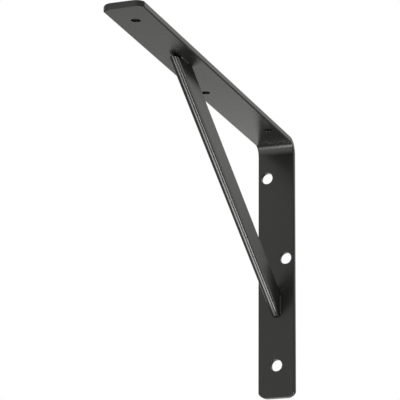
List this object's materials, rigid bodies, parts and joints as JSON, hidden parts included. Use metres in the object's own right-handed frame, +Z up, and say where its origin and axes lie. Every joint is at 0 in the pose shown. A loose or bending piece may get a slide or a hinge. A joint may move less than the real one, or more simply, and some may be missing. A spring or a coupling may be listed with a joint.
{
  "type": "shelf bracket",
  "caption": "Black steel shelf bracket: a flat bar bent to a right angle, with a folded sheet brace across the corner and staggered screw holes.",
  "frame": {"origin": "On the face that lies against the wall, mid-width, level with the upper wall screw hole", "axes": "+X across the bar, +Y into the wall, +Z up; the shelf arm reaches out from the wall towards -Y"},
  "size_m": [0.0254, 0.2794, 0.1784],
  "materials": {
    "black_coat": "satin"
  },
  "bodies": {
    "root": {"bent_bar": "black_coat", "brace": "black_coat", "weld_shelf_left": "black_coat", "weld_shelf_right": "black_coat", "weld_wall_left": "black_coat", "weld_wall_right": "black_coat"}
  },
  "joints": []
}
